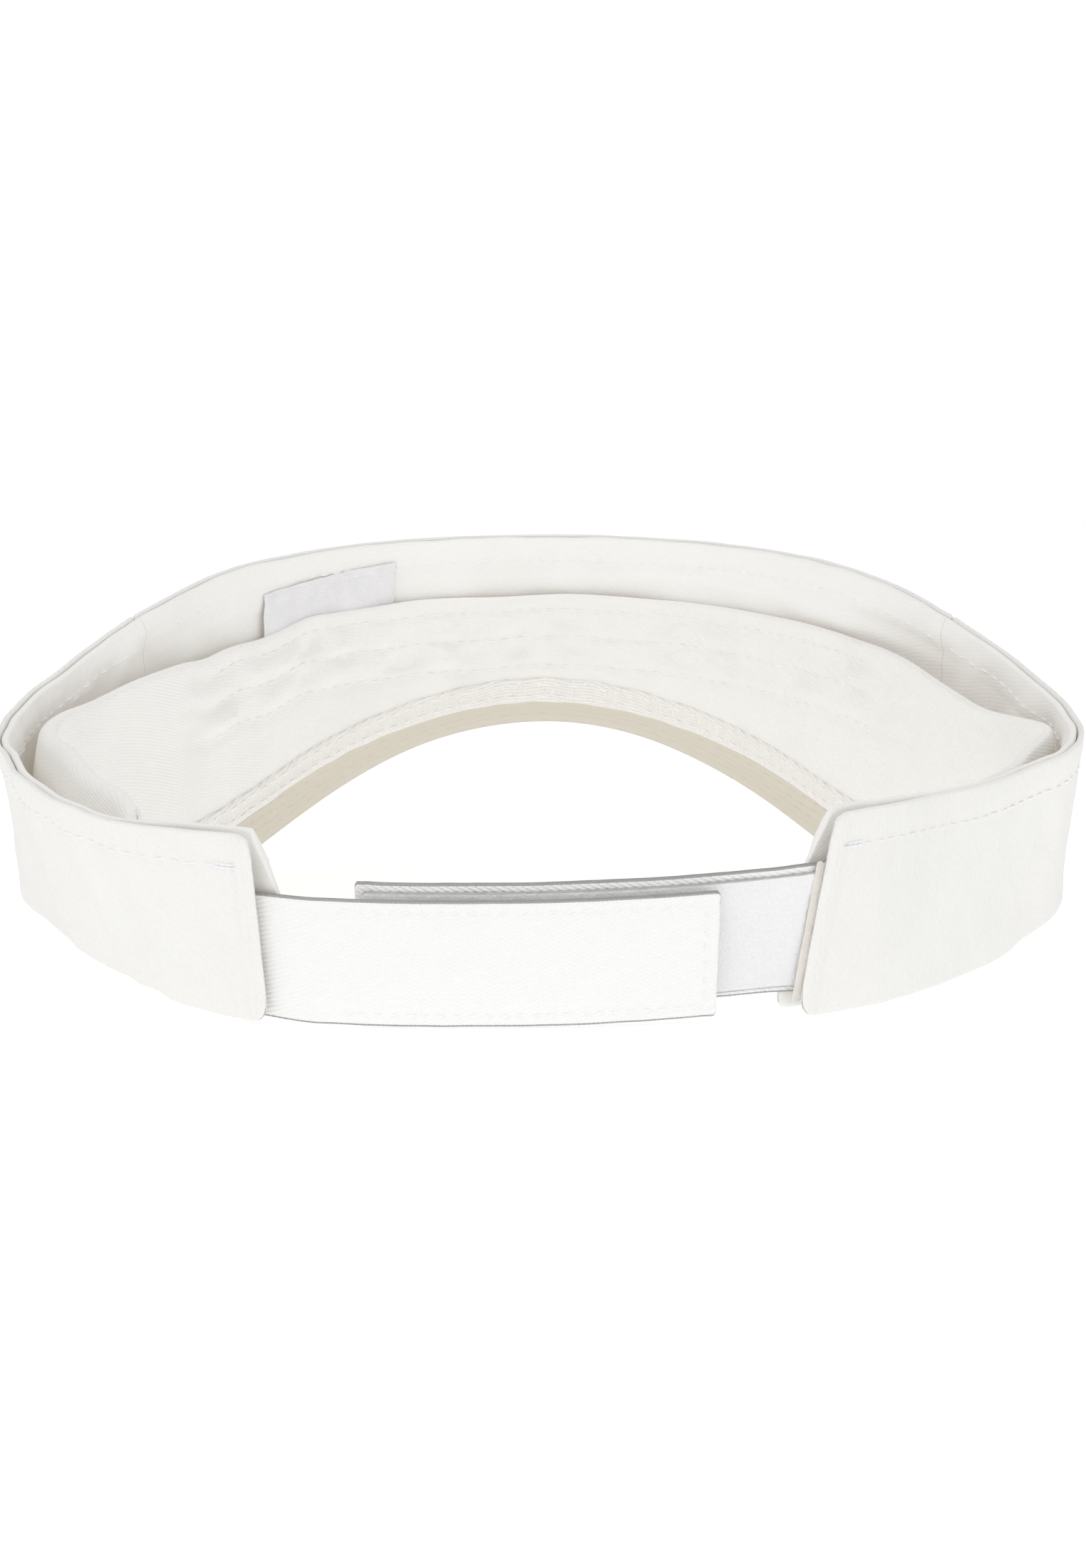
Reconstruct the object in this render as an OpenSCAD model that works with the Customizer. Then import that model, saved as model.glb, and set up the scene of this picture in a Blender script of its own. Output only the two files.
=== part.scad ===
// Curved-brim sun visor: a twill head band that is open at the back and closed by
// a hook-and-loop strap. The band is drawn level, with its back edge at height 0,
// and then tipped so that the visor rests on the brim's corners and the band's back.

/* [Head band] */
// Height of the band at the back
back_height = 38.7; // [35:0.1:42]
// How much higher the top edge stands at the front than at the back
front_rise = 14.4; // [8:0.1:18]
// How high the seam above the brim arches at the centre
seam_arch = 13.4; // [9:0.1:16]
// How far the foot of the front panel stands ahead of its top edge
front_lean = 14.7; // [9:0.1:18]
// Radius of the band's rounded sides
side_radius = 39.4; // [36:0.1:44]
// Thickness of the outer twill
twill = 1.1; // [0.8:0.1:1.2]

/* [Sweatband] */
// Height of the sweatband's free top edge above the band's back edge
sweatband_height = 37.4; // [32:0.1:37.4]
// Thickness of the folded sweatband
sweatband_thickness = 2; // [1.8:0.1:2.4]

/* [Brim] */
// Distance from the band's front to the brim's front edge
brim_reach = 67; // [55:1:75]
// Downward slope of the brim at its centre, in degrees
brim_droop = 21.9; // [16:0.1:26]
// Drop of the brim's sides for each squared millimetre from the centre
brim_curve = 0.0071; // [0.004:0.0001:0.008]
// Number of stitch rows on the brim
brim_rows = 6; // [3:1:7]

/* [Straps] */
// Width of both straps
strap_width = 25; // [22:0.5:27]
// Radius that the closed straps follow round the back of the head
strap_radius = 200; // [180:1:240]
// Clearance between the hook tape and the loop tape
tape_gap = 0.7; // [0.6:0.1:0.9]

/* [Hidden] */

// The wearer's left is +X and the brim points to -Y.
LEFT = 1;
RIGHT = -1;

// Half of the band's outline at its top edge, from the front centre: [radius, sweep].
band_front = 75.6;
band_arcs = [[103, 18], [70.4, 21], [167, 27], [side_radius, 45], [84, 40], [147, 10]];
// Distances along the band from the front centre.
brim_end = 100;
panel_end = 102.4;
wing_start = 103.9;
sweatband_end = 214;
mouth = 246;

// Depths below the band's outer face.
layer_gap = 0.05;
stiffener = 1;
lining = 0.9;
stiffener_depth = twill + layer_gap;
lining_depth = stiffener_depth + stiffener + layer_gap;
sweatband_depth = lining_depth + lining + 0.4;
binding = 0.8;
binding_clearance = 0.15;
pocket = 2.4;

// Brim outline from its front centre: [radius, sweep].
brim_arcs = [[115, 28], [50, 54], [300, 12], [63, 12]];
brim_front = band_front + front_lean + brim_reach;
board = 1.6;
cover = 0.8;
across_list = [for (i = [-20:20]) 0.97 * i / 20];
brim_lift = 2.7;

// Straps: the centre of their arc, and each end's place across the back.
strap_centre = [15, 89.5 - strap_radius];
strap_foot = [2, 4.2];
strap_lean = 6;
strap_cloth = 1;
tape = 0.7;
strap_hinge = 40;
strap_end = 34;
fold_gap = 1.8;

topstitch_drop = 6.5;
stitch_pitch = 5;
stitch_length = 3.6;
thread = 0.5;
// The flat patches of the cloth stand a little above its true curve in places.
thread_lift = 0.25;
station = 5;

// ---- Curves ----

function arcs_length(arcs, i = 0) =
    i == len(arcs) ? 0 : arcs[i][0] * arcs[i][1] * PI / 180 + arcs_length(arcs, i + 1);

brim_half = arcs_length(brim_arcs);

function ease(a, b, v) = let (t = min(1, max(0, (v - a) / (b - a)))) t * t * (3 - 2 * t);

function mix(p, q, t) = p * (1 - t) + q * t;

// Walks along tangent arcs and gives [x, y, heading] at a distance.
function along(arcs, distance, i = 0, x = 0, y = 0, heading = 0) =
    let (radius = arcs[i][0], sweep = arcs[i][1], length = radius * sweep * PI / 180)
    distance <= length || i == len(arcs) - 1
        ? let (end = heading + distance / radius * 180 / PI)
            [x + radius * (sin(end) - sin(heading)), y + radius * (cos(heading) - cos(end)), end]
        : along(arcs, distance - length, i + 1,
            x + radius * (sin(heading + sweep) - sin(heading)),
            y + radius * (cos(heading) - cos(heading + sweep)), heading + sweep);

function side_of(s) = s < 0 ? RIGHT : LEFT;

// Heights of the band's two edges at a distance s from the front centre.
function top_z(s) = back_height + front_rise * (1 - ease(63, 163, abs(s)));

function foot_z(s) =
    seam_arch - (seam_arch + 4.2) * ease(0, 94.5, abs(s)) + 4.2 * ease(100, 147, abs(s))
        + 1.3 * ease(200, mouth, s);

// The band leans: these are the outward shifts of its top edge and its foot.
function top_out(s) = s > 0
    ? 9 * ease(142, 226, s) * (1 - 0.5 * ease(215, 244, s))
    : -6.5 * ease(160, 224, -s);

function foot_out(s) = front_lean * (1 - ease(0, 115, abs(s)))
    - 7 * ease(140, 178, abs(s)) * (s > 0 ? 1 - ease(200, 242, s) : 1);

// The band's open ends are cut at a slant.
function slanted(s, z) = abs(s) < 190 ? s
    : s - side_of(s) * (s > 0 ? 3 : 6) * z / back_height * ease(190, mouth, abs(s));

// A point of the band at a distance s, a depth below its outer face and a height z.
function wall(s, depth, z) =
    let (
        r = slanted(s, z),
        p = along(band_arcs, abs(r), y = -band_front),
        t = (z - foot_z(r)) / (top_z(r) - foot_z(r)),
        out = mix(foot_out(r), top_out(r), t) - depth)
    [side_of(r) * (p[0] + out * sin(p[2])), p[1] - out * cos(p[2]), z];

function panel_foot(s) = foot_z(s) + brim_lift * (1 - ease(brim_end, wing_start, abs(s)));

function lining_shift(s) = pocket * ease(sweatband_end, 233, abs(s));

// How far the sweatband's free edge stands away from the lining.
function sweatband_gap(s) = 1.4 + 1.6 * ease(42, 115, abs(s))
    + 5 * exp(-pow((abs(s) - 126) / 26, 2)) - 1.4 * ease(165, 212, abs(s));

function sweatband_foot(s) = foot_z(s) - 1 + 1.5 * ease(95, 110, abs(s));

function sweatband_top(s) = sweatband_height - 1.6 * ease(150, sweatband_end, abs(s));

// Depth of the sweatband's outer face at a height z.
function sweatband_face(s, z) = sweatband_depth + sweatband_gap(s)
    * ease(0, 1, (z - sweatband_foot(s)) / (sweatband_top(s) - sweatband_foot(s)));

// ---- Brim ----

// The covers' inner edge tilts back towards the sweatband, so the seam stops short of it.
brim_inset = lining_depth + lining - 0.8;

function brim_seam(u) = wall(u * brim_end, brim_inset, foot_z(u * brim_end));

function brim_edge(u) =
    let (q = abs(u) * brim_half, p = along(brim_arcs, q, y = -brim_front))
    [sign(u) * p[0], p[1],
        seam_arch + tan(brim_droop) * (p[1] + band_front + front_lean)
            - brim_curve * p[0] * p[0] + 5 * ease(80, brim_half, q)];

function brim_middle(u, v) = mix(brim_seam(u), brim_edge(u), v) + [0, 0, 1.2 * sin(180 * v)];

// A point at u from side to side and v from seam to edge, raised along the normal.
function brim_point(u, v, raise) =
    let (
        across = brim_middle(u + 0.004, v) - brim_middle(u - 0.004, v),
        outward = brim_middle(u, v + 0.01) - brim_middle(u, v - 0.01),
        n = cross(outward, across))
    brim_middle(u, v) + raise * n / norm(n);

// ---- Straps ----

// A point on the closed straps: x is its place across the back, h runs from foot to
// top, and inset is the depth below the outer strap's outer face.
function strap_point(x, h, inset, foot) =
    let (
        angle = asin((x - strap_centre[0]) / strap_radius),
        r = strap_radius - inset - strap_width * sin(strap_lean) * 0.8 * (1 - h))
    [strap_centre[0] + r * sin(angle), strap_centre[1] + r * cos(angle),
        foot + strap_width * cos(strap_lean) * h];

// The sewn end of a strap bends from the strap's arc into the mouth of the band.
function tab_point(side, t, h, inset, foot) =
    let (
        x = side * (strap_hinge + fold_gap / 2),
        start = strap_point(x, h, inset, foot),
        lead = strap_point(x + side * 4, h, inset, foot),
        reach = side > 0 ? 236 : 240,
        z = foot + strap_width * cos(strap_lean) * h,
        depth = twill + 0.9 + inset - (side > 0 ? 0 : inner_inset),
        last = wall(side * reach, depth, z),
        before = wall(side * (reach + 5), depth, z))
    pow(1 - t, 3) * start + 3 * t * pow(1 - t, 2) * lead
        + 3 * t * t * (1 - t) * before + pow(t, 3) * last;

// ---- Solids ----

// Joins a row of closed rings, which have equal numbers of points, into one solid.
module loft(rings) {
    n = len(rings[0]);
    m = len(rings);
    // Each four-sided patch is split from its foot to its top, on every layer alike.
    sides = [for (i = [0:m - 2], j = [0:n - 1])
        let (k = (j + 1) % n, a = i * n + j, b = i * n + k, c = b + n, d = a + n)
        each rings[i][k][2] > rings[i][j][2] ? [[a, c, b], [a, d, c]] : [[a, d, b], [d, c, b]]];
    caps = [[for (j = [0:n - 1]) j], [for (j = [n - 1:-1:0]) (m - 1) * n + j]];
    polyhedron([for (ring = rings) each ring], concat(sides, caps));
}

function steps(from, to, size) =
    let (n = ceil(abs(to - from) / size - 0.001))
    [for (i = [0:n]) from + (to - from) * i / n];

// All strips of the band bend at the same distances, so that their layers stay parallel.
function stations(from, to) = concat(from,
    [for (i = [floor(from / station) + 1:ceil(to / station) - 1]) i * station], to);

// A strip of the band: section gives its [depth, height] corners at each distance.
module band_strip(from, to, section) {
    loft([for (s = stations(from, to)) [for (c = section(s)) wall(s, c[0], c[1])]]);
}

// A thin sheet between two grids of points, given by functions of u and v.
module sheet(u_list, v_list, under, over) {
    last = len(v_list) - 1;
    loft([for (u = u_list) concat(
        [for (i = [0:last]) under(u, v_list[i])],
        [for (i = [last:-1:0]) over(u, v_list[i])])]);
}

// A row of stitches along a line: place gives a point at a distance, shifted
// sideways and raised off the cloth.
module stitches(from, to, place) {
    count = floor(abs(to - from) / stitch_pitch);
    pitch = (to - from) / count;
    half = pitch * stitch_length / stitch_pitch / 2;
    for (i = [0:count - 1]) {
        middle = from + pitch * (i + 0.5);
        loft([for (q = [middle - half, middle + half])
            [place(q, -thread / 2, thread_lift), place(q, 0, thread_lift + thread * 0.8),
                place(q, thread / 2, thread_lift)]]);
    }
}

// ---- Resting place ----

// The level visor is tipped back about X, so that it rests on the brim's corners and on
// the back of the band, and is moved so that the origin is under its middle.
table_tilt = 11.9;

function tipped(p) = [p[1] * cos(table_tilt) + p[2] * sin(table_tilt),
    p[2] * cos(table_tilt) - p[1] * sin(table_tilt)];

resting_points = concat(
    [for (u = across_list) tipped(brim_point(u, 1, -cover))],
    [for (s = [200:2:mouth], side = [LEFT, RIGHT]) tipped(wall(side * s, 0, foot_z(s)))],
    [for (s = [200:2:mouth]) tipped(wall(s, 0, top_z(s)))]);
table_z = min([for (p = resting_points) p[1]]);
front_y = min([for (p = resting_points) p[0]]);
back_y = max([for (p = resting_points) p[0]]);

module on_table() {
    translate([0, -(front_y + back_y) / 2, -table_z])
        rotate([-table_tilt, 0, 0])
            children();
}

// ---- Front of the band ----

module front_panel() {
    color("ivory") on_table()
        band_strip(-panel_end, panel_end, function(s)
            [[0, panel_foot(s)], [twill, panel_foot(s)], [twill, top_z(s)], [0, top_z(s)]]);
}

module front_stiffener() {
    color("white") on_table()
        band_strip(-panel_end + 4, panel_end - 4, function(s)
            let (d = stiffener_depth, foot = panel_foot(s) + 0.5, top = top_z(s) - 1.5)
            [[d, foot], [d + stiffener, foot], [d + stiffener, top], [d, top]]);
}

module front_lining() {
    color("oldlace") on_table()
        band_strip(-panel_end, panel_end, function(s)
            let (d = lining_depth, foot = panel_foot(s), top = top_z(s) - 0.3)
            [[d, foot], [d + lining, foot], [d + lining, top], [d, top]]);
}

module front_topstitch() {
    color("snow") on_table()
        stitches(-panel_end + 1, panel_end - 1, function(s, across, raise)
            wall(s, -raise, top_z(s) - topstitch_drop + across));
}

// A folded cover is a thin U, open at the bottom, with a core inside it.
cover_cloth = 0.6;

module sweatband_cover(from, to) {
    band_strip(from, to, function(s)
        let (
            foot = sweatband_foot(s), top = sweatband_top(s), d = sweatband_face(s, foot),
            e = sweatband_face(s, top), w = sweatband_thickness, c = cover_cloth)
        [[d, foot], [d + c, foot], [mix(d, e, 0.5) + c, mix(foot, top, 0.5)], [e + c, top - c],
            [e + w - c, top - c], [mix(d, e, 0.5) + w - c, mix(foot, top, 0.5)],
            [d + w - c, foot], [d + w, foot], [mix(d, e, 0.5) + w, mix(foot, top, 0.5)],
            [e + w, top], [e, top], [mix(d, e, 0.5), mix(foot, top, 0.5)]]);
}

module sweatband_core(from, to) {
    band_strip(from, to, function(s)
        let (
            foot = sweatband_foot(s), top = sweatband_top(s), c = cover_cloth + 2 * layer_gap,
            w = sweatband_thickness, low = foot + 2, high = top - c,
            d = mix(sweatband_face(s, foot), sweatband_face(s, top), (low - foot) / (top - foot)),
            e = mix(sweatband_face(s, foot), sweatband_face(s, top), (high - foot) / (top - foot)))
        [[d + c, low], [d + w - c, low], [mix(d, e, 0.5) + w - c, mix(low, high, 0.5)],
            [e + w - c, high], [e + c, high], [mix(d, e, 0.5) + c, mix(low, high, 0.5)]]);
}

// The tape that covers the raw edges where the sweatband is sewn in.
module edge_binding(from, to) {
    band_strip(from, to, function(s)
        let (
            foot = sweatband_foot(s) - 0.8, top = foot + 6.5,
            d = sweatband_face_line(s, foot) + sweatband_thickness + binding_clearance,
            e = sweatband_face_line(s, top) + sweatband_thickness + binding_clearance)
        [[d, foot], [d + binding, foot], [e + binding, top], [e, top]]);
}

module front_sweatband() {
    color("linen") on_table() sweatband_cover(-panel_end, panel_end);
}

module front_sweatband_core() {
    color("beige") on_table() sweatband_core(-panel_end + 2, panel_end - 2);
}

module front_binding() {
    color("antiquewhite") on_table() edge_binding(-panel_end, panel_end);
}

module front_sweatband_stitching() {
    color("snow") on_table() {
        for (drop = [4, 11])
            stitches(-78, 78, function(s, across, raise)
                let (z = sweatband_top(s) - drop + across)
                wall(s, sweatband_face_line(s, z) + sweatband_thickness + raise, z));
    }
}

// The sweatband's faces are straight between their foot and their top.
function sweatband_face_line(s, z) =
    let (foot = sweatband_foot(s), top = sweatband_top(s))
    mix(sweatband_face(s, foot), sweatband_face(s, top), (z - foot) / (top - foot));

module care_label() {
    color("lavender") on_table()
        band_strip(40, 66, function(s)
            let (d = lining_depth + lining + layer_gap, top = top_z(s) - topstitch_drop, foot = top - 11)
            [[d, foot], [d + 0.35, foot], [d + 0.35, top], [d, top]]);
}

// ---- Brim pieces ----

outward_list = [0, 0.2, 0.4, 0.6, 0.8, 0.97, 1];

// The covers close on each other round the rim of the board.
function rim(v, deep, shallow) = v > 0.98 ? shallow : deep;

module brim_cover(face) {
    near = board / 2 + layer_gap;
    far = near + cover;
    low = face > 0 ? near : -far;
    high = face > 0 ? far : -near;
    low_rim = face > 0 ? 0.02 : -cover;
    high_rim = face > 0 ? cover : -0.02;
    sheet(across_list, outward_list,
        function(u, v) brim_point(u, v, rim(v, low, low_rim)),
        function(u, v) brim_point(u, v, rim(v, high, high_rim)));
}

module brim_top_cover() {
    color("white") on_table() brim_cover(1);
}

module brim_under_cover() {
    color("wheat") on_table() brim_cover(-1);
}

module brim_board() {
    color("gainsboro") on_table()
        sheet([for (u = across_list) u * 0.97], [0.03, 0.2, 0.4, 0.6, 0.8, 0.96],
            function(u, v) brim_point(u, v, -board / 2),
            function(u, v) brim_point(u, v, board / 2));
}

module brim_stitching() {
    face = board / 2 + layer_gap + cover;
    color("snow") on_table()
        for (row = [1:brim_rows]) {
            v = row == brim_rows ? 0.95 : row * 0.92 / brim_rows;
            reach = 0.97 - 0.07 * (1 - v);
            length = 1.55 * mix(brim_end, brim_half * 0.72, v);
            stitches(-length / 2, length / 2, function(q, across, raise)
                brim_point(q / (length / 2) * reach * 0.9, v + across / 75, face + raise));
        }
}

// ---- Sides of the band ----

// The stretch between two distances on one side, listed from right to left.
function span(side, near, far) = side > 0 ? [near, far] : [-far, -near];

module side_strip(side, near, far, section) {
    ends = span(side, near, far);
    band_strip(ends[0], ends[1], section);
}

module side_panel(side) {
    color("ivory") on_table()
        side_strip(side, wing_start, mouth, function(s)
            [[0, foot_z(s)], [twill, foot_z(s)], [twill, top_z(s)], [0, top_z(s)]]);
}

module side_interlining(side) {
    color("white") on_table()
        side_strip(side, wing_start + 3, sweatband_end - 4, function(s)
            let (d = stiffener_depth, foot = foot_z(s) + 1.5, top = top_z(s) - 1.5)
            [[d, foot], [d + stiffener, foot], [d + stiffener, top], [d, top]]);
}

module side_lining(side) {
    color("oldlace") on_table()
        side_strip(side, wing_start, mouth - 4, function(s)
            let (d = lining_depth + lining_shift(s), foot = foot_z(s) + 0.2, top = top_z(s) - 0.3)
            [[d, foot], [d + lining, foot], [d + lining, top], [d, top]]);
}

module side_topstitch(side) {
    ends = span(side, wing_start + 1, mouth - 15);
    color("snow") on_table()
        stitches(ends[0], ends[1], function(s, across, raise)
            wall(s, -raise, top_z(s) - topstitch_drop + across));
}

module side_sweatband(side) {
    ends = span(side, wing_start, sweatband_end);
    color("linen") on_table() sweatband_cover(ends[0], ends[1]);
}

module side_sweatband_core(side) {
    ends = span(side, wing_start + 2, sweatband_end - 2);
    color("beige") on_table() sweatband_core(ends[0], ends[1]);
}

module side_binding(side) {
    ends = span(side, wing_start, sweatband_end - 1);
    color("antiquewhite") on_table() edge_binding(ends[0], ends[1]);
}

// Two dense bars of thread lock the topstitching beside the open end.
module side_bartacks(side) {
    color("aliceblue") on_table()
        for (shift = [-2, 0, 2]) {
            ends = span(side, mouth - 14, mouth - 5);
            stitches(ends[0], ends[1], function(s, across, raise)
                wall(s, -raise, top_z(s) - topstitch_drop + shift + 2 * across));
        }
}

module left_side_panel() side_panel(LEFT);
module left_interlining() side_interlining(LEFT);
module left_lining() side_lining(LEFT);
module left_topstitch() side_topstitch(LEFT);
module left_sweatband() side_sweatband(LEFT);
module left_sweatband_core() side_sweatband_core(LEFT);
module left_binding() side_binding(LEFT);
module left_bartacks() side_bartacks(LEFT);

module right_side_panel() side_panel(RIGHT);
module right_interlining() side_interlining(RIGHT);
module right_lining() side_lining(RIGHT);
module right_topstitch() side_topstitch(RIGHT);
module right_sweatband() side_sweatband(RIGHT);
module right_sweatband_core() side_sweatband_core(RIGHT);
module right_binding() side_binding(RIGHT);
module right_bartacks() side_bartacks(RIGHT);

// ---- Straps ----

heights = [0, 0.5, 1];

// A layer of a strap between two places across its back, thick towards the head.
module strap_layer(from, to, inset, thick, foot, trim = 0) {
    band = trim / strap_width;
    sheet(steps(from, to, 4), [band, 0.5, 1 - band],
        function(x, h) strap_point(x, h, inset + thick, foot),
        function(x, h) strap_point(x, h, inset, foot));
}

module strap_tab(side, inset, foot) {
    sheet(steps(side > 0 ? 0 : 1, side > 0 ? 1 : 0, 0.2), heights,
        function(t, h) tab_point(side, t, h, inset + strap_cloth, foot),
        function(t, h) tab_point(side, t, h, inset, foot));
}

// The hem stitching: two rows along the strap and one across its free end.
module strap_stitching(hinge_x, free_x, foot, inset, outward) {
    edge = 0.09;
    turn = outward * (free_x - hinge_x > 0 ? 1 : -1);
    for (h = [edge, 1 - edge])
        stitches(hinge_x, free_x - sign(free_x - hinge_x) * 3, function(x, across, raise)
            strap_point(x, h + turn * across / strap_width, inset - outward * raise, foot));
    stitches(edge + 0.04, 1 - edge - 0.04, function(h, across, raise)
        strap_point(free_x - sign(free_x - hinge_x) * 2.4 - turn * across, h,
            inset - outward * raise, foot));
}

// Depths of the layers from the outer strap's outer face to the inner strap.
hook_inset = strap_cloth + layer_gap;
loop_inset = hook_inset + tape + tape_gap;
inner_inset = loop_inset + tape + layer_gap;

module outer_strap_tab() {
    color("white") on_table() strap_tab(LEFT, 0, strap_foot[0]);
}

module outer_strap() {
    color("white") on_table()
        strap_layer(-strap_end, strap_hinge - fold_gap / 2, 0, strap_cloth, strap_foot[0]);
}

module hook_tape() {
    color("whitesmoke") on_table()
        strap_layer(-strap_end + 3, strap_hinge - 10, hook_inset, tape, strap_foot[0], trim = 2.5);
}

module outer_strap_stitching() {
    color("snow") on_table()
        strap_stitching(strap_hinge - 2, -strap_end, strap_foot[0], 0, 1);
}

module inner_strap_tab() {
    color("aliceblue") on_table() strap_tab(RIGHT, inner_inset, strap_foot[1]);
}

module inner_strap() {
    color("aliceblue") on_table()
        strap_layer(-strap_hinge + fold_gap / 2, strap_end, inner_inset, strap_cloth, strap_foot[1]);
}

module loop_tape() {
    color("lavender") on_table()
        strap_layer(-strap_hinge + 2, strap_end - 1.5, loop_inset, tape, strap_foot[1], trim = 1.5);
}

module inner_strap_stitching() {
    color("snow") on_table()
        strap_stitching(-strap_hinge + 2, strap_end, strap_foot[1], inner_inset + strap_cloth, -1);
}

front_panel();
front_stiffener();
front_lining();
front_topstitch();
front_sweatband();
front_sweatband_core();
front_binding();
front_sweatband_stitching();
care_label();
brim_top_cover();
brim_board();
brim_under_cover();
brim_stitching();
left_side_panel();
left_interlining();
left_lining();
left_topstitch();
left_sweatband();
left_sweatband_core();
left_binding();
left_bartacks();
right_side_panel();
right_interlining();
right_lining();
right_topstitch();
right_sweatband();
right_sweatband_core();
right_binding();
right_bartacks();
outer_strap_tab();
outer_strap();
hook_tape();
outer_strap_stitching();
inner_strap_tab();
inner_strap();
loop_tape();
inner_strap_stitching();
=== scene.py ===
"""The looks of a curved-brim sun visor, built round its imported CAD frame.

Lengths in the curves below are millimetres in the level band frame of the CAD source:
X is the wearer's left, Y points to the back and Z is up. place() tips the points into
the row frame, in metres. The soft pieces are shaped directly from the CAD's own curves,
with folds, puckers and rolled edges added. In them, s is the distance along the band from
the middle of the front, positive to the wearer's left, and z is the height.
"""

import math

import bmesh
import bpy
import numpy as np
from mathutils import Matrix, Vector


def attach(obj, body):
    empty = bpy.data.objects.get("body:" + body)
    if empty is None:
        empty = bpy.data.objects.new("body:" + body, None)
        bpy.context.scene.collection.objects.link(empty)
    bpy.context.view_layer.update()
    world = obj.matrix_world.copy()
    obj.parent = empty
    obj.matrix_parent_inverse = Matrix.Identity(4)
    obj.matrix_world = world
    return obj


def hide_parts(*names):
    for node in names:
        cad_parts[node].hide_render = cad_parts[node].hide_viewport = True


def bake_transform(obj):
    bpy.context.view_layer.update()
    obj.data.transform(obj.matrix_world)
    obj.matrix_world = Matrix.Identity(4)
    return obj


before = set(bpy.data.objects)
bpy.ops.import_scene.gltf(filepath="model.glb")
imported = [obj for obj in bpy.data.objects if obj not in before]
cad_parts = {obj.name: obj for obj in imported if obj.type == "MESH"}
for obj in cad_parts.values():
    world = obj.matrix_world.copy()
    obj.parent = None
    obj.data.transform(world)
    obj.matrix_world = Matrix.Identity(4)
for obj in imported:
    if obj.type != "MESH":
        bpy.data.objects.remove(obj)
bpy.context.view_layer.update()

LEFT = 1
RIGHT = -1

# ---- Driving sizes ----

TABLE_TILT = math.radians(11.9)
SHIFT_Y = 31.0231
SHIFT_Z = 16.3239

BACK_HEIGHT = 38.7
FRONT_RISE = 14.4
SEAM_ARCH = 13.4
FRONT_LEAN = 14.7
BAND_FRONT = 75.6
BAND_ARCS = [(103, 18), (70.4, 21), (167, 27), (39.4, 45), (84, 40), (147, 10)]
BRIM_END = 100
SEAM = 103.1
SWEATBAND_END = 214
MOUTH = 246
RIM_DESCENT = (63, 163)
SEAM_ARCH_SPAN = (0, 94.5)
SIDE_LIFT = 4.2
SIDE_LIFT_SPAN = (100, 147)
MOUTH_LIFT = 1.3
LEFT_RIM_FLARE = 9
RIGHT_RIM_TUCK = 6.5
FOOT_TUCK = 7

TWILL = 1.15
LINING_DEPTH = 1.45
LINING = 1.5
SWEATBAND_DEPTH = 3.5
SWEATBAND_THICKNESS = 2.0
SWEATBAND_HEIGHT = 37.4
LEFT_STAND_OFF = 4.6
POCKET = 2.4
TOPSTITCH_DROP = 6.5
LINING_STITCH_DROP = 5.5

BRIM_ARCS = [(115, 28), (50, 54), (300, 12), (63, 12)]
BRIM_LENGTH = 67
BRIM_FRONT = BAND_FRONT + FRONT_LEAN + BRIM_LENGTH
BRIM_SLOPE = math.tan(math.radians(21.9))
BRIM_CURVE = 0.0071
BRIM_HALF = sum(radius * math.radians(sweep) for radius, sweep in BRIM_ARCS)
BRIM_DEPTH = 2.3
BRIM_FACE = 1.65
BRIM_CROWN = 1.2
BRIM_TIP_LIFT = 5
BRIM_ROWS = 6

STRAP_CENTRE = (15, -110.5)
STRAP_RADIUS = 200
STRAP_WIDTH = 25
STRAP_LEAN = math.radians(6)
STRAP_RISE = STRAP_WIDTH * math.cos(STRAP_LEAN)
OUTER_FOOT = 2
INNER_FOOT = 4.2
STRAP_CLOTH = 1
TAPE = 0.7
LOOP_INSET = 2.45
INNER_INSET = 3.2
STRAP_HINGE = 40
TAB_START = STRAP_HINGE + 0.9
STRAP_END = 34
OUTER_END = 31.9
TAB_LEAD = 4
TAB_DEPTH = 2.0
TAB_RUN = 14

# ---- Curves ----


def ease(start, end, value):
    t = np.clip((value - start) / (end - start), 0, 1)
    return t * t * (3 - 2 * t)


def mix(p, q, t):
    return p * (1 - t) + q * t


def bump(value, centre, width):
    return np.exp(-(((value - centre) / width) ** 2))


def along(arcs, distance, start_y):
    """Walks along tangent arcs and gives x, y and heading at each distance."""
    x = np.zeros_like(distance)
    y = np.full_like(distance, start_y)
    heading = np.zeros_like(distance)
    left = distance.copy()
    for number, (radius, sweep) in enumerate(arcs):
        length = radius * math.radians(sweep)
        step = np.clip(left, 0, length)
        if number == len(arcs) - 1:
            step = np.maximum(left, 0)
        turned = heading + step / radius
        x += radius * (np.sin(turned) - np.sin(heading))
        y += radius * (np.cos(heading) - np.cos(turned))
        heading = turned
        left = left - step
    return x, y, heading


def top_z(s):
    """The rim of the band."""
    return BACK_HEIGHT + FRONT_RISE * (1 - ease(*RIM_DESCENT, abs(s)))


def foot_z(s):
    """The lower edge of the band, which arches over the brim."""
    arch = SEAM_ARCH - (SEAM_ARCH + SIDE_LIFT) * ease(*SEAM_ARCH_SPAN, abs(s))
    sides = arch + SIDE_LIFT * ease(*SIDE_LIFT_SPAN, abs(s))
    return sides + MOUTH_LIFT * ease(200, MOUTH, s)


def top_out(s):
    """How far the rim stands out from the band's plan."""
    left = LEFT_RIM_FLARE * ease(142, 226, s) * (1 - 0.5 * ease(215, 244, s))
    return np.where(s > 0, left, -RIGHT_RIM_TUCK * ease(160, 224, -s))


def foot_out(s):
    """How far the lower edge stands out from the band's plan."""
    back = np.where(s > 0, 1 - ease(200, 242, s), 1)
    tuck = FOOT_TUCK * ease(140, 178, abs(s)) * back
    return FRONT_LEAN * (1 - ease(0, 115, abs(s))) - tuck


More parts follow.
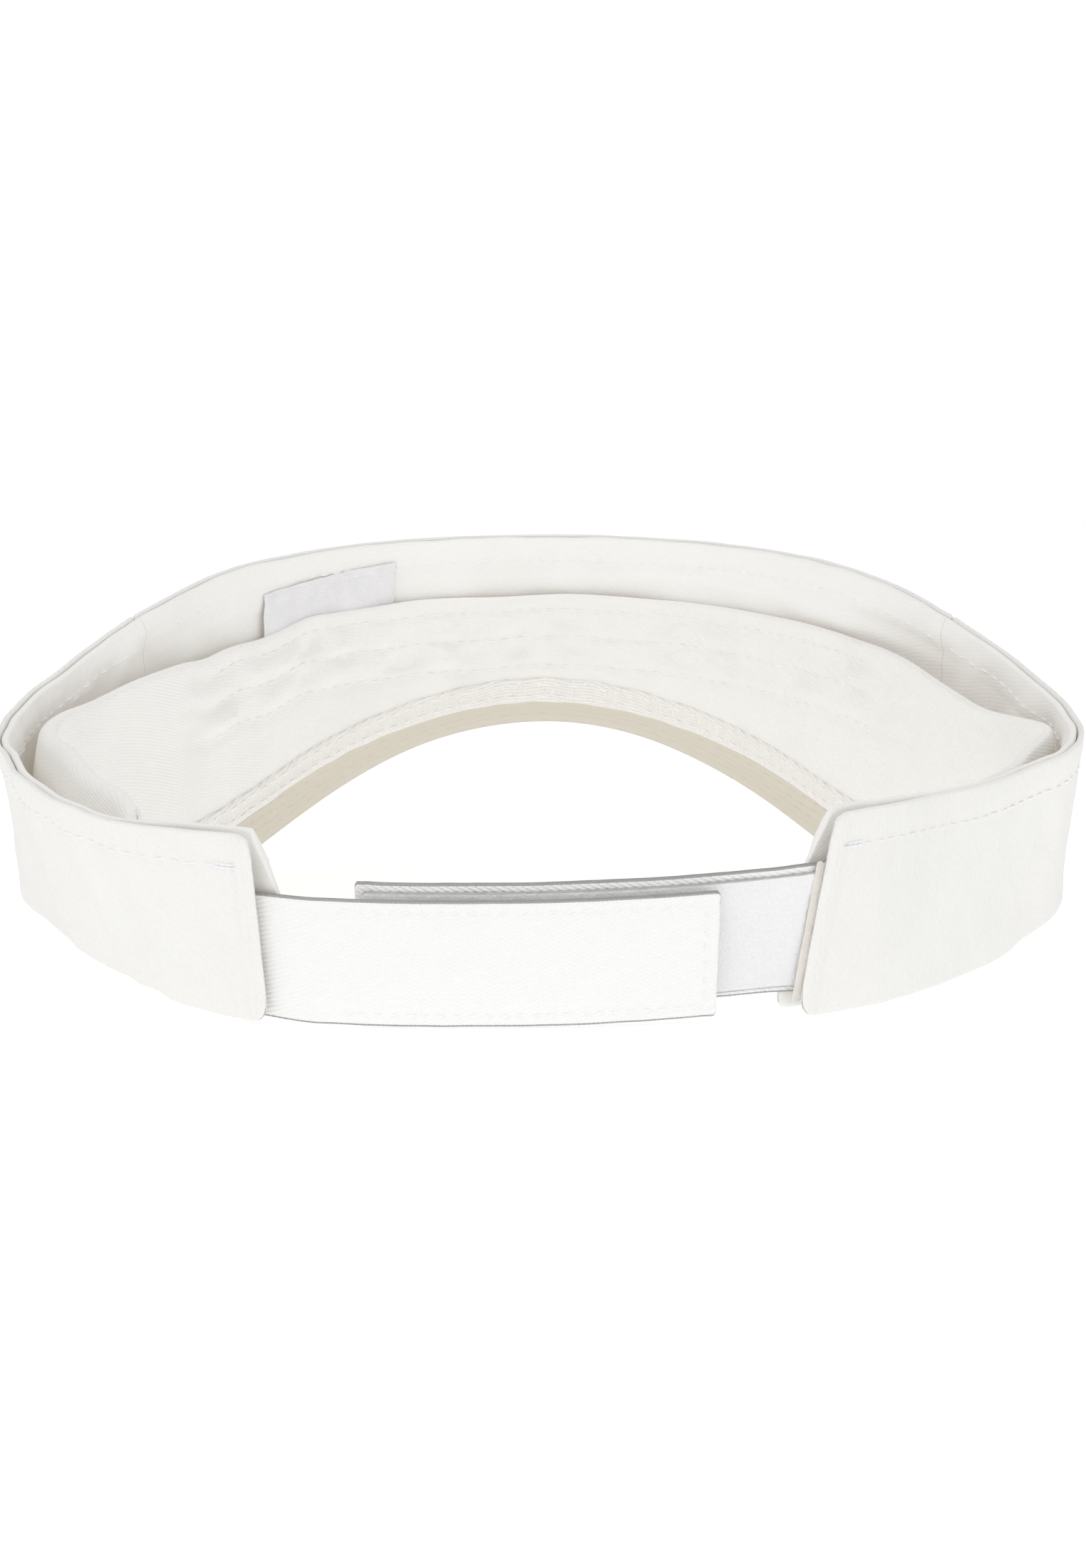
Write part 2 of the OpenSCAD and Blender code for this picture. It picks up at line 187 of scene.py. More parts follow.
def slanted(s, z):
    """Draws the mouths' edges in: evenly on the left, and most at the rim on the right."""
    t = z / BACK_HEIGHT
    cut = np.where(s > 0, 2.6 + 0.6 * t, 2.2 + 6.8 * t) * ease(190, MOUTH, abs(s))
    return np.where(abs(s) < 190, s, s - np.sign(s) * cut)


def wall(s, depth, z):
    """A point of the band at a distance s, a depth below its outer face and a height z."""
    s, depth, z = np.broadcast_arrays(s, depth, z)
    s = s.astype(float)
    r = slanted(s, z)
    side = np.where(r < 0, -1.0, 1.0)
    x, y, heading = along(BAND_ARCS, abs(r), -BAND_FRONT)
    t = (z - foot_z(r)) / (top_z(r) - foot_z(r))
    out = mix(foot_out(r), top_out(r), t) - depth
    return np.stack([side * (x + out * np.sin(heading)), y - out * np.cos(heading), z], -1)


def lining_shift(s):
    """The lining leaves the shell to make the pocket for each strap's sewn end."""
    return POCKET * ease(SWEATBAND_END, 233, abs(s))


def sweatband_gap(s):
    """The sweatband's free edge stands away from the lining: widest at the corners and,
    on the left, along the side towards the mouth."""
    corner = np.where(s > 0, 2.2, 5.6) * bump(abs(s), 126, 26)
    gap = 0.15 + 2.85 * ease(52, 110, abs(s)) + corner - 1.4 * ease(165, 212, -s)
    return gap + LEFT_STAND_OFF * ease(140, 192, s) * (1 - 0.5 * ease(204, SWEATBAND_END, s))


def sweatband_foot(s):
    return foot_z(s) - 1 + 1.5 * ease(95, 110, abs(s))


def sweatband_top(s):
    return SWEATBAND_HEIGHT - 1.6 * ease(150, SWEATBAND_END, abs(s))


def sweatband_face(s, z):
    """The depth of the sweatband's hidden face, which leans in towards its free edge."""
    t = np.clip((z - sweatband_foot(s)) / (sweatband_top(s) - sweatband_foot(s)), 0, 1.1)
    return SWEATBAND_DEPTH + sweatband_gap(s) * t ** (1.6 + 1.2 * ease(135, 160, s))


def brim_seam(u):
    s = u * BRIM_END
    return wall(s, BRIM_DEPTH, foot_z(s))


def brim_edge(u):
    q = abs(u) * BRIM_HALF
    x, y, _ = along(BRIM_ARCS, q, -BRIM_FRONT)
    z = SEAM_ARCH + BRIM_SLOPE * (y + BAND_FRONT + FRONT_LEAN) - BRIM_CURVE * x * x
    return np.stack([np.sign(u) * x, y, z + BRIM_TIP_LIFT * ease(80, BRIM_HALF, q)], -1)


def brim_middle(u, v):
    """The middle of the brim's thickness: a ruled sheet, a little crowned."""
    u, v = np.broadcast_arrays(u, v)
    u = u.astype(float)
    points = mix(brim_seam(u), brim_edge(u), v[..., None])
    points[..., 2] += BRIM_CROWN * np.sin(math.pi * v)
    return points


def brim_point(u, v, raised):
    """A point at u from side to side and v from seam to edge, raised along the normal."""
    across = brim_middle(u + 0.004, v) - brim_middle(u - 0.004, v)
    outward = brim_middle(u, v + 0.01) - brim_middle(u, v - 0.01)
    normal = np.cross(outward, across)
    normal /= np.linalg.norm(normal, axis=-1, keepdims=True)
    return brim_middle(u, v) + np.asarray(raised)[..., None] * normal


def strap_point(x, h, inset, foot):
    """A point on the closed straps, x across the back, h from foot to top."""
    x, h, inset = np.broadcast_arrays(x, h, inset)
    angle = np.arcsin((x - STRAP_CENTRE[0]) / STRAP_RADIUS)
    r = STRAP_RADIUS - inset - STRAP_WIDTH * math.sin(STRAP_LEAN) * 0.8 * (1 - h)
    y = STRAP_CENTRE[1] + r * np.cos(angle)
    return np.stack([STRAP_CENTRE[0] + r * np.sin(angle), y, foot + STRAP_RISE * h], -1)


def tab_point(side, t, h, inset, foot):
    """The sewn end of a strap bends from the strap's arc into the mouth of the band."""
    t, h, inset = np.broadcast_arrays(t, h, inset)
    x = side * TAB_START
    start = strap_point(x, h, inset, foot)
    lead = strap_point(x + side * TAB_LEAD, h, inset, foot)
    reach = 236 if side > 0 else 240
    z = foot + STRAP_RISE * h
    depth = TAB_DEPTH + inset - (0 if side > 0 else INNER_INSET)
    last = wall(side * reach + 0 * z, depth, z)
    before = wall(side * (reach + 5) + 0 * z, depth, z)
    t = t[..., None]
    return ((1 - t) ** 3 * start + 3 * t * (1 - t) ** 2 * lead
            + 3 * t * t * (1 - t) * before + t ** 3 * last)


def place(points):
    """Level band frame in millimetres to the row frame in metres."""
    x, y, z = points[..., 0], points[..., 1], points[..., 2]
    c, s = math.cos(TABLE_TILT), math.sin(TABLE_TILT)
    tipped = [x, y * c + z * s + SHIFT_Y, z * c - y * s + SHIFT_Z]
    return np.stack(tipped, -1) / 1000


# ---- Cloth shapes ----

WAVES = 7


def ripples(s, z, seed, size, squeeze=1.0):
    """Smooth, irregular swells about size long, between about -1 and 1. Each use has a seed
    of its own."""
    draw = np.random.default_rng(seed)
    total = 0
    for _ in range(WAVES):
        angle = draw.uniform(0, math.pi)
        scale = size * draw.uniform(0.7, 1.5)
        phase = draw.uniform(0, 2 * math.pi)
        run = s * math.cos(angle) + z * squeeze * math.sin(angle)
        total = total + np.cos(2 * math.pi * run / scale + phase)
    return total / WAVES ** 0.5 * 0.8


def crease(s, z, at, angle, length, width, height):
    """One soft fold: a ridge through a point, at an angle in degrees from upright."""
    turn = math.radians(angle)
    ds, dz = s - at[0], z - at[1]
    across = ds * math.cos(turn) + dz * math.sin(turn)
    run = dz * math.cos(turn) - ds * math.sin(turn)
    return height * np.exp(-((across / width) ** 2) - (run / length) ** 2)


# Each crease: the point (s, z) it runs through, its angle, length, width and height.
SIDE_CREASES = [
    ((207, 14), 14, 17, 3.0, 0.9), ((213, 20), 10, 20, 2.6, -0.8),
    ((221, 16), 8, 16, 3.2, 0.6), ((199, 22), 20, 18, 3.6, -0.7),
    ((186, 18), 6, 22, 4.5, 0.7), ((170, 20), -8, 22, 5.0, -0.6),
    ((232, 30), -20, 10, 3.0, 0.5), ((239, 12), 6, 12, 2.2, -0.5),
    ((150, 24), 12, 20, 5.0, 0.5), ((126, 30), -14, 22, 6.0, -0.5),
    ((-208, 16), -10, 18, 3.4, 0.5), ((-220, 18), -6, 18, 3.4, -0.45),
    ((-232, 22), 4, 16, 2.6, 0.5), ((-190, 20), -14, 20, 4.5, -0.5),
    ((-172, 22), 8, 22, 5.0, 0.5), ((-150, 24), -10, 22, 5.5, -0.45),
    ((-124, 30), 12, 22, 6.0, 0.5),
]


def shell_swell(s, z):
    """How far the outer twill swells out of its smooth curve."""
    swell = 0.28 * ripples(s, z, 11, 34) + 0.10 * ripples(s, z, 12, 11)
    for fold in SIDE_CREASES:
        swell = swell + crease(s, z, *fold)
    below = top_z(s) - z
    gather = 0.10 * np.sin(s * 0.9 + 2 * ripples(s, 0 * z, 13, 25))
    stitched = -0.14 * bump(below, TOPSTITCH_DROP, 1.4) + 0.15 * bump(below, 3.2, 2.2)
    near_seam = bump(abs(s), SEAM, 5.0)
    pucker = 0.22 * near_seam * np.sin(z * 1.1 + 2 * ripples(z, s, 14, 19))
    calmed = swell * (1 - 0.75 * bump(abs(s), SEAM, 8))
    return calmed + gather * bump(below, 6, 4) + stitched + pucker


def ring(rows, arc_steps):
    """A strip's cross-section: [share of height, share of depth, roundness up or down]."""
    out = [(t, 0.0, 0.0) for t in np.linspace(0, 1, rows)]
    turns = np.linspace(0, math.pi, arc_steps + 2)[1:-1]
    top = [(1.0, (1 - math.cos(a)) / 2, math.sin(a)) for a in turns]
    back = [(t, 1.0, 0.0) for t in np.linspace(1, 0, rows)]
    low = [(0.0, (1 + math.cos(a)) / 2, -math.sin(a)) for a in turns]
    return np.array(out + top + back + low)


def stations(near, far, pitch, rolls=(0, 0), roll=0.6):
    """Distances along a strip, and how full its section is at each: less at rolled ends."""
    turns = np.radians([4, 25, 45, 65])
    count = max(2, round((far - near) / pitch))
    first = near + roll * rolls[0]
    last = far - roll * rolls[1]
    places = list(np.linspace(first, last, count))
    full = [1.0] * count
    if rolls[0]:
        places = list(near + roll * (1 - np.cos(turns))) + places
        full = list(np.sin(turns)) + full
    if rolls[1]:
        places += list(far - roll * (1 - np.cos(turns[::-1])))
        full += list(np.sin(turns[::-1]))
    return np.array(places), np.array(full)


def mesh_object(name, points, cloth, faces, material, smooth_angle):
    """A mesh from points in the level frame; cloth holds each point's place on the cloth."""
    mesh = bpy.data.meshes.new(name)
    mesh.from_pydata([tuple(p) for p in place(points)], [], faces)
    mesh.validate()
    attribute = mesh.attributes.new("cloth", "FLOAT_VECTOR", "POINT")
    flat = np.zeros((len(points), 3), np.float32)
    flat[:, : cloth.shape[1]] = cloth
    attribute.data.foreach_set("vector", flat.ravel())
    mesh.shade_smooth()
    mesh.set_sharp_from_angle(angle=math.radians(smooth_angle))
    mesh.materials.append(material)
    made = bpy.data.objects.new(name, mesh)
    bpy.context.scene.collection.objects.link(made)
    return made


TUBE_SMOOTH = 40
STITCH_SMOOTH = 60


def tube(name, points, cloth, material):
    """Joins a row of closed rings, [rings, points of a ring, 3], with capped ends."""
    rings, size = points.shape[:2]
    faces = []
    for i in range(rings - 1):
        for j in range(size):
            k = (j + 1) % size
            faces.append((i * size + j, i * size + k, (i + 1) * size + k, (i + 1) * size + j))
    half = size // 2
    for base, flip in ((0, True), ((rings - 1) * size, False)):
        for j in range(half - 1):
            a, b = base + j, base + j + 1
            c, d = base + size - 2 - j, base + size - 1 - j
            face = (a, b, c, d) if c != b else (a, b, d)
            faces.append(face[::-1] if flip else face)
    flat_cloth = cloth.reshape(-1, cloth.shape[-1])
    made = mesh_object(name, points.reshape(-1, 3), flat_cloth, faces, material, TUBE_SMOOTH)
    turn_outward(made)
    return made


def turn_outward(made):
    """Makes every face of a closed mesh face outward."""
    work = bmesh.new()
    work.from_mesh(made.data)
    bmesh.ops.recalc_face_normals(work, faces=work.faces)
    work.to_mesh(made.data)
    work.free()


def strip(name, near, far, foot, top, outer, inner, material, rows=30, arc_steps=5,
          pitch=1.5, rolls=(0, 0), roll=0.6, corner=1.2, edge=2.0):
    """A strip of the band between two edges; outer and inner give its faces' depths. Its
    ends are rolled where rolls asks for it, and its edges are rounded up to edge high."""
    s, full = stations(near, far, pitch, rolls, roll)
    section = ring(rows, arc_steps)
    s, full = s[:, None], full[:, None]
    share, side, lift = section[:, 0][None], section[:, 1][None], section[:, 2][None]
    low, high = foot(s), top(s)
    thick = abs(inner(s, high) - outer(s, high))
    r = np.minimum(thick / 2, edge(s) if callable(edge) else edge)
    z = mix(low + r, high - r, share) + lift * r
    middle = (low + high) / 2
    near_corner, far_corner = corner if isinstance(corner, tuple) else (corner, corner)
    cut = np.where(s < (near + far) / 2, near_corner, far_corner)
    z = middle + (z - middle) * (1 - (1 - full) * cut / ((high - low) / 2))
    front, back = outer(s, z), inner(s, z)
    centre = (front + back) / 2
    depth = centre + (mix(front, back, side) - centre) * full
    points = wall(s, depth, z)
    across = np.where(side < 0.5, z, 2 * high - z)
    cloth = np.stack(np.broadcast_arrays(s, across, side), -1)
    return tube(name, points, cloth, material)


def threads(name, lines, material, length=2.4, pitch=3.2, radius=0.2, jitter=0.12, seed=3):
    """Stitches along lines: each line is (start, end, spot), and spot(q, out) gives points
    in the level frame at a distance q, raised out of the cloth."""
    draw = np.random.default_rng(seed)
    sides, rings = 6, 5
    all_points, all_cloth, faces = [], [], []
    base = 0
    for start, end, spot in lines:
        count = max(1, int(abs(end - start) / pitch))
        step = (end - start) / count
        for i in range(count):
            middle = start + step * (i + 0.5) + draw.normal(0, jitter)
            half = math.copysign(length / 2, step) * (1 + draw.normal(0, 0.05))
            q = middle + half * np.linspace(-1, 1, rings)
            arch = np.array([-0.5, 0.5, 0.8, 0.5, -0.5]) * radius
            core = spot(q, arch)
            ahead = spot(q + 0.05, arch) - spot(q - 0.05, arch)
            ahead /= np.linalg.norm(ahead, axis=-1, keepdims=True)
            out = spot(q, arch + 0.1) - core
            out /= np.linalg.norm(out, axis=-1, keepdims=True)
            side = np.cross(ahead, out)
            size = radius * np.array([0.45, 0.95, 1.0, 0.95, 0.45])
            for k in range(sides):
                a = 2 * math.pi * k / sides
                ring_points = core + size[:, None] * (math.cos(a) * out + math.sin(a) * side)
                all_points.append(ring_points)
                all_cloth.append(np.stack([q, np.full(rings, float(k)), 0 * q], -1))
            for k in range(sides):
                n = (k + 1) % sides
                for j in range(rings - 1):
                    a, b = base + k * rings + j, base + n * rings + j
                    faces.append((a, b, b + 1, a + 1))
            faces.append(tuple(base + k * rings for k in range(sides)))
            faces.append(tuple(base + k * rings + rings - 1 for k in reversed(range(sides))))
            base += sides * rings
    made = mesh_object(name, np.concatenate(all_points), np.concatenate(all_cloth), faces,
                       material, STITCH_SMOOTH)
    turn_outward(made)
    return made


# ---- Materials ----

# Painted light: the colours of the glow given to the twills (warm) and to the piles (white).
PAINTED_GLOW_WARM = (1.0, 0.80, 0.56)
PAINTED_GLOW_WHITE = (1.0, 1.0, 1.0)


class Shade:
    """A material's nodes, with short ways to add and join them."""

    def __init__(self, name, roughness=0.9, specular=0.25, sheen=0.0, sheen_roughness=0.5):
        self.material = bpy.data.materials.new(name)
        self.material.use_nodes = True
        self.tree = self.material.node_tree
        self.tree.nodes.clear()
        self.output = self.tree.nodes.new("ShaderNodeOutputMaterial")
        self.surface = self.tree.nodes.new("ShaderNodeBsdfPrincipled")
        self.surface.inputs["Roughness"].default_value = roughness
        self.surface.inputs["Specular IOR Level"].default_value = specular
        self.surface.inputs["Sheen Weight"].default_value = sheen
        self.surface.inputs["Sheen Roughness"].default_value = sheen_roughness
        self.tree.links.new(self.surface.outputs[0], self.output.inputs["Surface"])
        cloth = self.tree.nodes.new("ShaderNodeAttribute")
        cloth.attribute_name = "cloth"
        self.cloth = cloth.outputs["Vector"]
        split = self.tree.nodes.new("ShaderNodeSeparateXYZ")
        self.join(self.cloth, split.inputs[0])
        self.run, self.across, self.face = split.outputs

    def join(self, source, target):
        self.tree.links.new(source, target)

    def give(self, socket, value):
        if isinstance(value, (int, float)):
            socket.default_value = value
        else:
            self.join(value, socket)

    def maths(self, operation, *values):
        node = self.tree.nodes.new("ShaderNodeMath")
        node.operation = operation
        for socket, value in zip(node.inputs, values):
            self.give(socket, value)
        return node.outputs[0]

    def noise(self, scale, detail=3.0, roughness=0.55, stretch=(1, 1, 1)):
        mapping = self.tree.nodes.new("ShaderNodeMapping")
        mapping.inputs["Scale"].default_value = stretch
        self.join(self.cloth, mapping.inputs["Vector"])
        node = self.tree.nodes.new("ShaderNodeTexNoise")
        node.inputs["Scale"].default_value = scale
        node.inputs["Detail"].default_value = detail
        node.inputs["Roughness"].default_value = roughness
        self.join(mapping.outputs[0], node.inputs["Vector"])
        return node.outputs[0]

    def ramp(self, value, stops):
        node = self.tree.nodes.new("ShaderNodeValToRGB")
        ramp = node.color_ramp
        while len(ramp.elements) < len(stops):
            ramp.elements.new(0.5)
        for element, (position, colour) in zip(ramp.elements, stops):
            element.position = position
            element.color = (*colour, 1)
        self.join(value, node.inputs[0])
        return node.outputs[0]

    def colour(self, value):
        self.join(value, self.surface.inputs["Base Color"])

    def bump(self, height, distance, strength=1.0):
        node = self.tree.nodes.new("ShaderNodeBump")
        node.inputs["Distance"].default_value = distance
        node.inputs["Strength"].default_value = strength
        self.join(height, node.inputs["Height"])
        self.join(node.outputs[0], self.surface.inputs["Normal"])

    # Painted light: an emission that makes the cloth glow though it is no lamp.
    def glow(self, colour, strength):
        self.surface.inputs["Emission Color"].default_value = (*colour, 1)
        self.surface.inputs["Emission Strength"].default_value = strength

    def rough(self, value, low, high):
        spread = self.maths("MULTIPLY_ADD", value, high - low, low)
        self.join(spread, self.surface.inputs["Roughness"])


YARN_SHARE = 0.55


def shaded(colour, factor):
    return tuple(min(1, c * factor) for c in colour)


def twill(name, colour, angle, pitch=1.0, depth=0.00012, mottle=0.06, wale=0.10, sheen=0.25,
          glow=0.0):
    """Woven cotton twill: diagonal wales crossed by finer yarns, with slight slubs. The pitch
    is in millimetres and the bump's depth in metres. The glow is painted light: a faint,
    warm emission that brightens the whole cloth to lift its shade."""
    shade = Shade(name, roughness=0.92, specular=0.2, sheen=sheen, sheen_roughness=0.6)
    shade.glow(PAINTED_GLOW_WARM, glow)
    turn = math.radians(angle)
    wander = shade.noise(0.22, 2.0)
    drift = shade.maths("MULTIPLY", wander, 0.3)
    run = shade.maths("MULTIPLY", shade.run, math.cos(turn) / pitch)
    rise = shade.maths("MULTIPLY", shade.across, math.sin(turn) / pitch)
    phase = shade.maths("ADD", shade.maths("ADD", run, rise), drift)
    wales = shade.maths("SINE", shade.maths("MULTIPLY", phase, 2 * math.pi))
    wandering = shade.maths("ADD", shade.across, drift)
    yarn = shade.maths("MULTIPLY", wandering, 2 * math.pi / (pitch * YARN_SHARE))
    yarns = shade.maths("SINE", yarn)
    broken = shade.maths("MULTIPLY", wales, shade.maths("MULTIPLY_ADD", yarns, 0.3, 0.7))
    slub = shade.noise(0.9, 4.0, 0.6, (1, 2.5, 1))
    height = shade.maths("MULTIPLY_ADD", slub, 0.25, broken)
    shade.bump(height, depth)
    cloudy = shade.noise(0.06, 3.0)
    tone = shade.maths("MULTIPLY_ADD", broken, wale * 0.5, 0.5)
    tone = shade.maths("MULTIPLY_ADD", shade.maths("SUBTRACT", cloudy, 0.5), mottle * 4, tone)
    tone = shade.maths("MULTIPLY_ADD", shade.maths("SUBTRACT", slub, 0.5), 0.25, tone)
    shade.colour(shade.ramp(tone, [(0.0, shaded(colour, 0.86)), (0.5, colour),
                                   (1.0, shaded(colour, 1.06))]))
    shade.rough(slub, 0.84, 0.98)
    return shade.material


def fuzzy(name, colour, size=0.5, depth=0.0003, sheen=0.5, contrast=0.12, glow=0.0):
    """A brushed or looped face: a dense, uneven pile. The glow is painted light, a faint emission
    that lifts the pile's shade.
    """
    shade = Shade(name, roughness=0.95, specular=0.15, sheen=sheen, sheen_roughness=0.4)
    shade.glow(PAINTED_GLOW_WHITE, glow)
    fine = shade.noise(1 / size, 4.0, 0.7)
    coarse = shade.noise(0.35 / size, 2.0)
    height = shade.maths("MULTIPLY_ADD", coarse, 0.6, fine)
    shade.bump(height, depth)
    tone = shade.maths("MULTIPLY_ADD", shade.maths("SUBTRACT", fine, 0.5), contrast * 8, 0.5)
    shade.colour(shade.ramp(tone, [(0.0, shaded(colour, 1 - contrast)), (0.6, colour),
                                   (1.0, shaded(colour, 1.05))]))
    return shade.material


def ribbed(name, colour, pitch=0.7, depth=0.00012, contrast=0.07):
    """Herringbone or grosgrain tape: close ribs across its length, a little hairy."""
    shade = Shade(name, roughness=0.9, specular=0.2, sheen=0.3)
    ribs = shade.maths("SINE", shade.maths("MULTIPLY", shade.run, 2 * math.pi / pitch))
    rows = shade.maths("SINE", shade.maths("MULTIPLY", shade.across, 2 * math.pi / 0.8))
    weave = shade.maths("MULTIPLY", ribs, shade.maths("MULTIPLY_ADD", rows, 0.5, 0.5))
    hair = shade.noise(1.6, 4.0, 0.7)
    height = shade.maths("MULTIPLY_ADD", hair, 1.5, weave)
    shade.bump(height, depth)
    tone = shade.maths("MULTIPLY_ADD", shade.maths("SUBTRACT", height, 0.75), contrast * 2, 0.5)
    shade.colour(shade.ramp(tone, [(0.0, shaded(colour, 0.85)), (0.5, colour),
                                   (1.0, shaded(colour, 1.05))]))
    return shade.material


def thread_material(name, colour):
    """Two-ply thread: a slanting twist along each stitch."""
    shade = Shade(name, roughness=0.6, specular=0.35, sheen=0.2)
    lay = shade.maths("MULTIPLY_ADD", shade.run, 2.2, shade.maths("DIVIDE", shade.across, 6.0))
    twist = shade.maths("SINE", shade.maths("MULTIPLY", lay, 2 * math.pi))
    shade.bump(twist, 0.00002)
    shade.colour(shade.ramp(shade.maths("MULTIPLY_ADD", twist, 0.5, 0.5),
                            [(0.0, shaded(colour, 0.98)), (1.0, colour)]))
    return shade.material


def satin(name, colour):
    """Woven label ribbon: fine cross ribs and a soft shine."""
    shade = Shade(name, roughness=0.42, specular=0.4, sheen=0.15)
    ribs = shade.maths("SINE", shade.maths("MULTIPLY", shade.across, 2 * math.pi / 0.35))
    cloudy = shade.noise(0.25, 3.0)
    shade.bump(shade.maths("MULTIPLY_ADD", cloudy, 2.0, ribs), 0.00003)
    shade.colour(shade.ramp(cloudy, [(0.3, shaded(colour, 0.95)), (0.7, colour)]))
    shade.rough(cloudy, 0.35, 0.5)
    return shade.material


WHITE_TWILL = (0.905, 0.897, 0.875)
# Painted shade: the brim's underside and its thread are the white twill darkened to a warm beige,
# the shade under the brim.
UNDER_SHADE_COLOUR = (0.69, 0.65, 0.565)
SHELL_TWILL = twill("shell_twill", WHITE_TWILL, 17, 0.7, 0.00006, wale=0.07)
# Painted light: the lining and sweatband get a faint warm glow that lifts their shade.
LINING_TWILL = twill("lining_twill", (0.862, 0.862, 0.853), -58, 0.7, 0.00002, mottle=0.08,
                     wale=0.05, glow=0.06)
BAND_TWILL = twill("sweatband_twill", (0.885, 0.88, 0.86), 75, 0.7, 0.00005, mottle=0.08,
                   wale=0.07, glow=0.03)
BRIM_TOP = twill("brim_twill", WHITE_TWILL, 48, 1.05)
# The underside's twill carries the painted shade under the brim.
BRIM_UNDER_SHADED = twill("brim_under_twill", UNDER_SHADE_COLOUR, 48, 0.8, 0.00006, mottle=0.03,
                   sheen=0.03)
# Painted light: the strap twill and the loop pile glow a little to lift their shade.
STRAP_TWILL = twill("strap_twill", (0.95, 0.948, 0.935), 62, 0.8, 0.00008, mottle=0.02, wale=0.08,
                    glow=0.01)
LOOP_PILE = fuzzy("loop_pile", (0.95, 0.95, 0.957), 0.55, 0.0003, glow=0.015)
HOOK_PILE = fuzzy("hook_pile", (0.88, 0.88, 0.88), 0.9, 0.0004, sheen=0.1)
BINDING = ribbed("binding_tape", (0.95, 0.93, 0.89), contrast=0.03)
FRAY = fuzzy("frayed_edge", (0.94, 0.905, 0.84), 0.5, 0.0004, contrast=0.1)
THREAD = thread_material("thread", (0.985, 0.98, 0.965))
# The underside's thread carries the same painted shade.
UNDER_SHADED_THREAD = thread_material("brim_under_shaded_thread", UNDER_SHADE_COLOUR)
TACK = thread_material("bartack_thread", (0.965, 0.965, 0.985))
SATIN = satin("label_satin", (0.90, 0.89, 0.905))

# ---- Where the sides flex ----

FLEX_RUN = 16
FLEX_DEPTH = 1.0
FLEX_HEIGHT = 20.0

WORD = {LEFT: "left", RIGHT: "right"}


def on_wing(piece, side):
    """Works out the points past the seam where the side flexes, and bakes the piece's placement
    into its mesh.
    """
    start = Vector(place(wall(side * SEAM, FLEX_DEPTH, FLEX_HEIGHT)))
    end = Vector(place(wall(side * (SEAM + FLEX_RUN), FLEX_DEPTH, FLEX_HEIGHT)))
    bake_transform(piece)


def both_ways(side, near, far):
    """A stretch of one side as rising distances."""
    return (near, far) if side > 0 else (-far, -near)


def rolled(side, near, far):
    """Values for the near and far end of one side, in the order of rising distances."""
    return (near, far) if side > 0 else (far, near)


# ---- Head band ----


def panel_foot(s):
    """The front panel stops a little above the arch, where the brim's covers are sewn on."""
    return foot_z(s) + 1.7 * (1 - ease(BRIM_END, SEAM + 0.8, abs(s)))


def side_foot(s):
    """The sides' lower edges sag a little less than the CAD's, most on the left."""
    sag = np.where(s > 0, 2.2, 0.5) * bump(abs(s), 168, 34)
    return foot_z(s) + sag


def shell_foot(s):
    return side_foot(s) + rounded_off(s, MOUTH, 4.0)


def rounded_off(s, end, radius):
    """How far an edge draws in near an open end, to round the corner."""
    over = np.clip(abs(s) - (end - radius), 0, radius * 0.999)
    return radius - np.sqrt(radius ** 2 - over ** 2)


def shell_top(s):
    return top_z(s) - rounded_off(s, MOUTH, 2.4)


def shell_outer(s, z):
    """The outer face, with a raised hem and its stitch groove along the mouth."""
    end = MOUTH - abs(s)
    hem = 0.6 * bump(end, 1.3, 1.1) - 0.35 * bump(end, 3.0, 0.5)
    return -shell_swell(s, z) - hem


def shell_inner(s, z):
    return TWILL - shell_swell(s, z)


front_panel = strip("front_panel_cloth", -SEAM, SEAM, panel_foot, top_z, shell_outer,
                    shell_inner, SHELL_TWILL, rows=34, rolls=(1, 1), roll=0.7)
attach(front_panel, "root")
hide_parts("front_panel", "front_stiffener")

SEAM_GAP = 0.1

for side in (LEFT, RIGHT):
    ends = both_ways(side, SEAM + SEAM_GAP, MOUTH)
    name = WORD[side]
    panel = strip(name + "_side_panel_cloth", *ends, shell_foot, shell_top, shell_outer,
                  shell_inner, SHELL_TWILL, rows=34, pitch=0.9, rolls=(1, 1), roll=0.7,
                  corner=rolled(side, 0.6, 2.6))
    on_wing(panel, side)
    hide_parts(name + "_side_panel", name + "_interlining")


def lining_swell(s, z):
    """The lining's fold along the rim, its gathers at the stitches and its soft waves."""
    below = top_z(s) - z
    fold = 0.5 * ease(TOPSTITCH_DROP + 0.6, TOPSTITCH_DROP - 0.2, below)
    swell = 0.30 * ripples(s, z, 21, 30) + 0.12 * ripples(s, z, 22, 9)
    gather = 0.16 * np.sin(s * 1.15 + 2 * ripples(s, 0 * z, 23, 22)) * bump(below, 7.5, 2.5)
    stitched = -0.25 * bump(below, LINING_STITCH_DROP, 0.6)
    fade = ease(0, 4, below)
    return fold * ease(1.0, 3.0, below) + (swell + gather + stitched) * fade


# The lining's creases, given like the sides' ones.
LINING_CREASES = [
    ((-112, 36), 34, 11, 3.5, 0.9), ((-120, 33), -20, 12, 4.0, -0.9),
    ((-131, 34), 24, 10, 3.5, 0.8), ((-141, 33), -16, 10, 3.5, -0.6),
    ((112, 37), 42, 11, 3.2, 0.9), ((101, 39), -32, 10, 3.0, -0.8),
    ((122, 34), -20, 10, 3.5, 0.6), ((86, 42), 30, 9, 3.2, 0.5),
    ((-48, 44), 89, 26, 1.6, 0.7), ((-82, 43), 96, 20, 1.5, -0.6),
    ((-70, 41), 94, 18, 1.3, 0.6), ((76, 43), 84, 16, 1.5, 0.5),
]


def lining_outer(s, z):
    """The lining keeps close behind the shell along the top edge."""
    follow = shell_swell(s, z) * ease(16, 3, top_z(s) - z)
    return LINING_DEPTH + lining_shift(s) - follow


